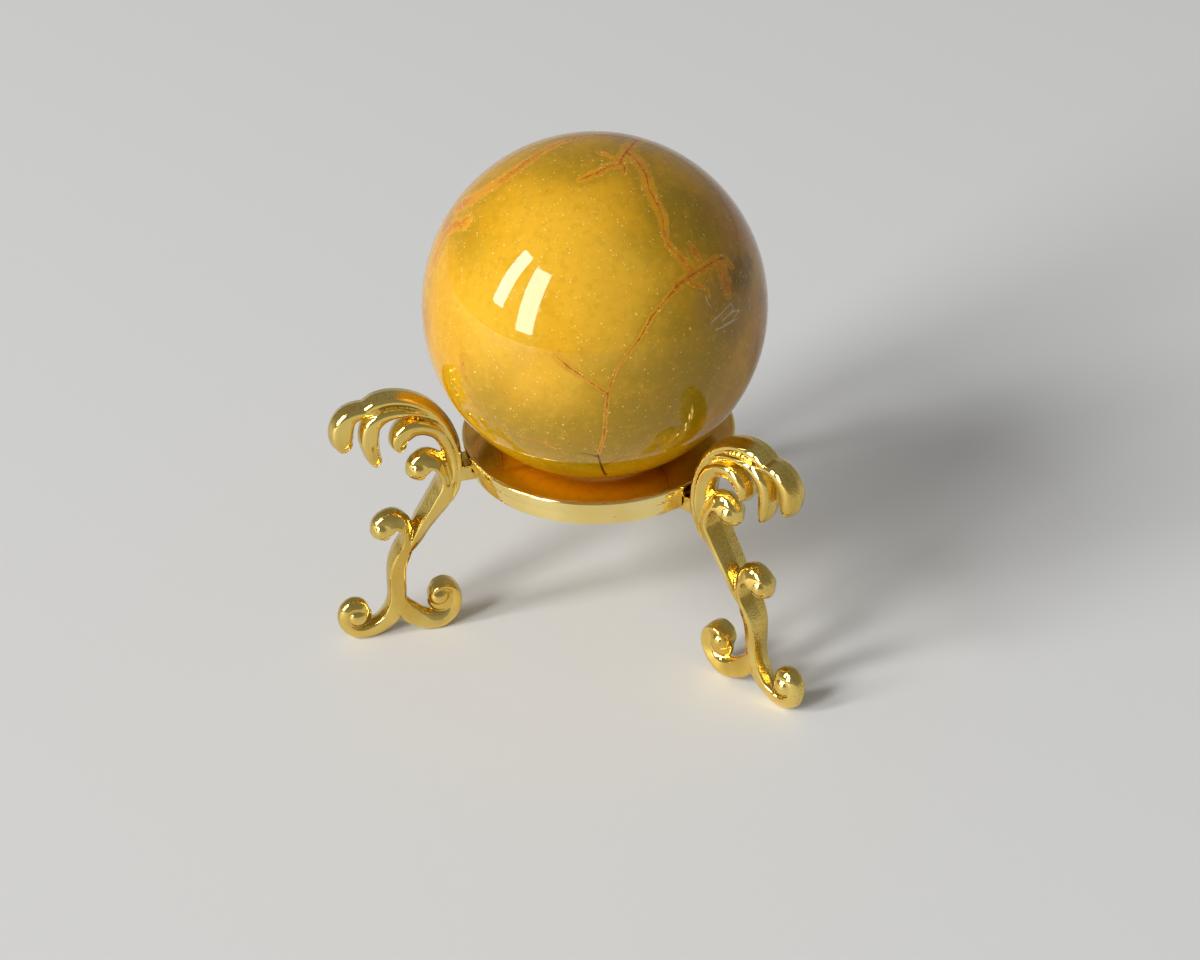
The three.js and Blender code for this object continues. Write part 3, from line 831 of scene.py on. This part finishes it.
def stone_mesh(material):
    """The ball, with how near each point is to the veins, cracks, healed fractures, cloudy patches and the
    painted glow round the window's highlight.
    """
    rng = np.random.default_rng(SEED)
    points, faces = cube_sphere(STONE_SIDE)
    radius = STONE_RADIUS / MM
    bands = np.full(len(points), FAR_AWAY)
    to_camera = -np.array(forward)
    threads = {name: Thread(points) for name in THREADS}

    def vein(line, start, end, dark):
        nonlocal bands
        bands = np.minimum(bands, nearest(points, line, (start / radius, end / radius))[0])
        if dark:
            threads["line"].add(line, *(width * dark / radius for width in DARK_WIDTHS))

    for places, start, end, dark in VEINS:
        vein([on_stone(x, y) for x, y in places], start, end, dark)
    for places, start, end in CRACKS:
        threads["crack"].add([on_stone(x, y) for x, y in places], start / radius, end / radius)
    for places in STROKES:
        line = [on_stone(x, y) for x, y in places]
        threads["stroke"].add(line, *(width / radius for width in STROKE_WIDTHS))
    hidden = []
    for _ in range(HIDDEN_VEINS):
        start = rng.normal(size=3)
        start = start - to_camera * (0.75 + start.dot(to_camera))
        start /= np.linalg.norm(start)
        line = wandering(rng, start, rng.normal(size=3), rng.integers(7, 16), VEIN_STRIDE)
        line = [p for p in line if p.dot(to_camera) < HIDDEN_BELOW]
        if len(line) > 2:
            hidden.append(line)
            vein(line, rng.uniform(0.4, 0.9), rng.uniform(0.25, 0.5), rng.uniform(0.5, 1.0))
    for line in hidden[:HIDDEN_FORKS]:
        fork = line[len(line) // 2]
        branch = wandering(rng, fork, rng.normal(size=3), rng.integers(4, 8), FORK_STRIDE)
        branch = [p for p in branch if p.dot(to_camera) < HIDDEN_BELOW]
        if len(branch) > 2:
            vein(branch, 0.4, 0.25, 0.6)

    def more(places, count, reach):
        """The patches that the picture shows, and some at random on the hidden side."""
        total = blobs(points, places)
        for _ in range(count):
            centre = rng.normal(size=3)
            centre = centre - to_camera * (0.9 + centre.dot(to_camera))
            centre /= np.linalg.norm(centre)
            distance = np.linalg.norm(points - centre, axis=1)
            weight = rng.uniform(0.4, 0.9)
            total = np.maximum(total, weight * np.exp(-((distance / rng.uniform(*reach)) ** 2)))
        return total

    # The pale field is painted light where the picture shows it, a glow round the window's highlight; its
    # random patches on the hidden side are pale clouds.
    fields = {"band": bands, "window_glow_and_pale_cloud": more(PAINTED_WINDOW_GLOW, 5, (0.3, 0.6)), "olive": more(OLIVE, 6, (0.3, 0.5)),
              "brown": more(BROWN, 4, (0.15, 0.35)), "dark": more(DARK, 2, (0.06, 0.12)),
              "smoky": more(SMOKY, 2, (0.1, 0.2))}
    for name, thread in threads.items():
        fields[name] = thread.signed
        fields[name + "_reach"] = thread.reach * radius
    stone = mesh_object("mookaite_ball", points * STONE_RADIUS, faces, material)
    stone.location = STONE_CENTRE
    for name, values in fields.items():
        attribute = stone.data.attributes.new(name, "FLOAT", "POINT")
        attribute.data.foreach_set("value", np.clip(values, -FAR_AWAY, FAR_AWAY).astype(np.float32))
    return stone


# The dish and its screws


def arc(centre, radius, start, end, count):
    """Points of an arc of [radius, height], from one angle to another in degrees."""
    angles = np.radians(np.linspace(start, end, count))
    return [(centre[0] + radius * math.cos(a), centre[1] + radius * math.sin(a)) for a in angles]


def dish_mesh(material):
    """The ring dish: a plain wall, a bevelled rim with a round lip, and a cone down to the open seat."""
    cone_top = np.array([RIM_RADIUS - LIP_WIDTH, RIM_TOP - LIP_DROP])
    cone_end = np.array([SEAT_RADIUS + SEAT_ROUND, SEAT_TOP])
    cone = [tuple(cone_top + u * (cone_end - cone_top)) for u in np.linspace(0.02, 1, 14)]
    profile = [
        (SEAT_RADIUS, DISH_UNDERSIDE + SEAT_EASE),
        (SEAT_RADIUS + SEAT_EASE, DISH_UNDERSIDE),
        (WALL_RADIUS - EDGE_BREAK, DISH_UNDERSIDE),
        *arc((WALL_RADIUS - EDGE_BREAK, DISH_UNDERSIDE + EDGE_BREAK), EDGE_BREAK, -80, 0, 5),
        (WALL_RADIUS, RIM_UNDERSIDE),
        *arc((RIM_RADIUS - RIM_FLARE - EDGE_BREAK, RIM_UNDERSIDE + EDGE_BREAK), EDGE_BREAK, -90, 0, 5),
        *arc((RIM_RADIUS - LIP_ROUND, RIM_TOP - LIP_ROUND), LIP_ROUND, 0, 110, 12),
        (cone_top[0] + 0.12, cone_top[1] + 0.04),
        *cone,
        (SEAT_RADIUS, SEAT_TOP - SEAT_ROUND),
    ]
    vertices, faces = lathe(profile, 240)
    dish = mesh_object("bevelled_ring_dish", vertices * MM, faces, material)
    cutters = []
    for azimuth in LEGS.values():
        turn = Matrix.Rotation(math.radians(azimuth), 3, "Z")
        low = (TONGUE_TIP - SHOWN_GAP, -TAB_HALF_WIDTH - SHOWN_GAP, DISH_UNDERSIDE - OVERCUT)
        high = (RIM_RADIUS + OVERCUT, TAB_HALF_WIDTH + SHOWN_GAP, NOTCH_CEILING)
        v, f = box_mesh(low, high)
        cutters.append((v @ np.array(turn.transposed()), f))
        v, f = screw_hole(NOTCH_CEILING - OVERCUT, SCREW_TIP + CLEARANCE)
        cutters.append((v @ np.array(turn.transposed()), f))
    for v, f in cutters:
        cut_away(dish, v, f)
    return dish


def spun(profile, segments):
    """A closed body of revolution about Z whose outline starts and ends on the axis."""
    profile = np.array(profile, float)
    turn = np.linspace(0, 2 * math.pi, segments, endpoint=False)
    inner = profile[1:-1]
    vertices = [(0, 0, profile[0][1])]
    vertices += [(r * math.cos(t), r * math.sin(t), z) for t in turn for r, z in inner]
    vertices.append((0, 0, profile[-1][1]))
    count, top = len(inner), len(vertices) - 1
    faces = []
    for s in range(segments):
        here, there = 1 + s * count, 1 + ((s + 1) % segments) * count
        faces.append((0, there, here))
        for c in range(count - 1):
            faces.append((here + c, there + c, there + c + 1, here + c + 1))
        faces.append((top, here + count - 1, there + count - 1))
    return np.array(vertices), faces


def screw_mesh(material):
    """A machine screw with a round head, a cross recess and turned threads."""
    profile = [
        (0, HEAD_LOW),
        (0.45 * SCREW_HEAD_RADIUS, HEAD_LOW + HEAD_DOME),
        *arc((SCREW_HEAD_RADIUS - HEAD_ROUND, HEAD_LOW + HEAD_ROUND + HEAD_DOME), HEAD_ROUND, -80, 0, 8),
        (SCREW_HEAD_RADIUS, HEAD_TOP),
        (SCREW_RADIUS, HEAD_TOP),
    ]
    for i in range(THREAD_TURNS):
        low = HEAD_TOP + THREAD_FROM + i * THREAD_PITCH
        profile += [((1 - THREAD_DEPTH) * SCREW_RADIUS, low), (SCREW_RADIUS, low + THREAD_PITCH / 2)]
    profile += [(0.7 * SCREW_RADIUS, SCREW_TIP), (0, SCREW_TIP)]
    v, f = spun(profile, 40)
    screw = mesh_object("screw", v * MM, f, material)
    for turn in (0, math.pi / 2):
        low = (-RECESS_HALF_LENGTH, -RECESS_HALF_WIDTH, HEAD_LOW - OVERCUT)
        v, f = box_mesh(low, (RECESS_HALF_LENGTH, RECESS_HALF_WIDTH, HEAD_LOW + RECESS_DEPTH))
        cut_away(screw, v @ np.array(Matrix.Rotation(turn, 3, "Z").transposed()), f)
    return screw


def sharpen(obj, degrees):
    """Smooth shading with its edges above an angle left sharp."""
    obj.data.shade_smooth()
    obj.data.set_sharp_from_angle(angle=math.radians(degrees))


# The assembly

make_camera()
gold = metal_material(
    "gold_plate_cast", (0.86, 0.65, 0.19), (0.73, 0.49, 0.10), 3100.0, 0.6, rough=(0.03, 0.09), facet=True,
)
# Painted light: the dish's gold is lighter than the legs', so that its cone's reflection of the shaded
# underside of the stone reads brighter.
dish_gold_lightened = metal_material(
    "gold_plate_dish_lightened", (0.96, 0.77, 0.31), (0.91, 0.68, 0.22), 3000.0, 0.10, rough=(0.03, 0.08),
)
steel = metal_material("screw_steel", (0.62, 0.61, 0.58), (0.5, 0.49, 0.46), 1800.0, 0.3, rough=(0.2, 0.35))


def copies(first, plain_name, place):
    """The same piece at each leg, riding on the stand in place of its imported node."""
    pieces = [first] + [first.copy() for _ in range(len(LEGS) - 1)]
    for piece in pieces[1:]:
        bpy.context.scene.collection.objects.link(piece)
    for piece, (name, azimuth) in zip(pieces, LEGS.items()):
        piece.name = f"{plain_name}_{name}_fine"
        angle = math.radians(azimuth)
        piece.rotation_euler[2] = angle
        piece.location = Vector((math.cos(angle), math.sin(angle), 0)) * place * MM
        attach(piece, "stand")
        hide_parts(f"{plain_name}_{name}")


copies(leg_mesh(gold), "leg", 0.0)
screw = screw_mesh(steel)
sharpen(screw, 32)
copies(screw, "screw", SCREW_AXIS)

dish = dish_mesh(dish_gold_lightened)
sharpen(dish, 40)
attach(dish, "stand")
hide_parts("ring_dish")

stone = stone_mesh(stone_material())
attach(stone, "stone")
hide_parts("stone_sphere")

# The stage

FLOOR_HALF = 8.0
FLOOR_DROP = 0.0001  # metres that the floor lies under the feet
FLOOR_COLOUR = (0.74, 0.74, 0.73, 1)
# Strength of the world at the horizon and from some height on.
HORIZON_LIGHT, UPPER_LIGHT, UPPER_FROM = 0.36, 0.25, 0.4
# The two panes of a window: place, width and height in metres, and power in watts.
WINDOW_PANES = {
    "window_left": ((-2.83, -1.036, 1.855), (0.56, 2.16), 67.0),
    "window_right": ((-2.208, -2.058, 1.495), (0.72, 2.38), 86.0),
}
LIGHTS_AIM = (0, 0, 0.045)


def stage():
    material, n = new_material("floor_pale")
    shader = n.add("ShaderNodeBsdfPrincipled", {"Base Color": FLOOR_COLOUR, "Roughness": 0.6})
    n.add("ShaderNodeOutputMaterial", {"Surface": shader})
    corners = [(x * FLOOR_HALF, y * FLOOR_HALF, -FLOOR_DROP) for x, y in ((-1, -1), (1, -1), (1, 1), (-1, 1))]
    floor = mesh_object("floor", corners, [(0, 1, 2, 3)], material, smooth=False)


def soft_light(name, place, size, power):
    """A rectangular lamp that faces the object."""
    data = bpy.data.lights.new(name, "AREA")
    data.shape = "RECTANGLE"
    data.size, data.size_y = size
    data.energy = power
    light = bpy.data.objects.new(name, data)
    bpy.context.scene.collection.objects.link(light)
    place = Vector(place)
    turn = (Vector(LIGHTS_AIM) - place).to_track_quat("-Z", "Y").to_matrix().to_4x4()
    light.matrix_world = Matrix.Translation(place) @ turn


def lights():
    scene = bpy.context.scene
    world = bpy.data.worlds.new("studio")
    scene.world = world
    world.use_nodes = True
    n = Nodes(world.node_tree)
    direction = n.add("ShaderNodeSeparateXYZ", {0: n.add("ShaderNodeTexCoord").outputs["Generated"]})
    strength = n.remap(direction.outputs[2], 0.0, UPPER_FROM, HORIZON_LIGHT, UPPER_LIGHT)
    back = n.add("ShaderNodeBackground", {"Color": (1, 1, 1, 1), "Strength": strength})
    n.add("ShaderNodeOutputWorld", {"Surface": back})
    for name, (place, size, power) in WINDOW_PANES.items():
        soft_light(name, place, size, power)
    scene.view_settings.view_transform = "Standard"


stage()
lights()
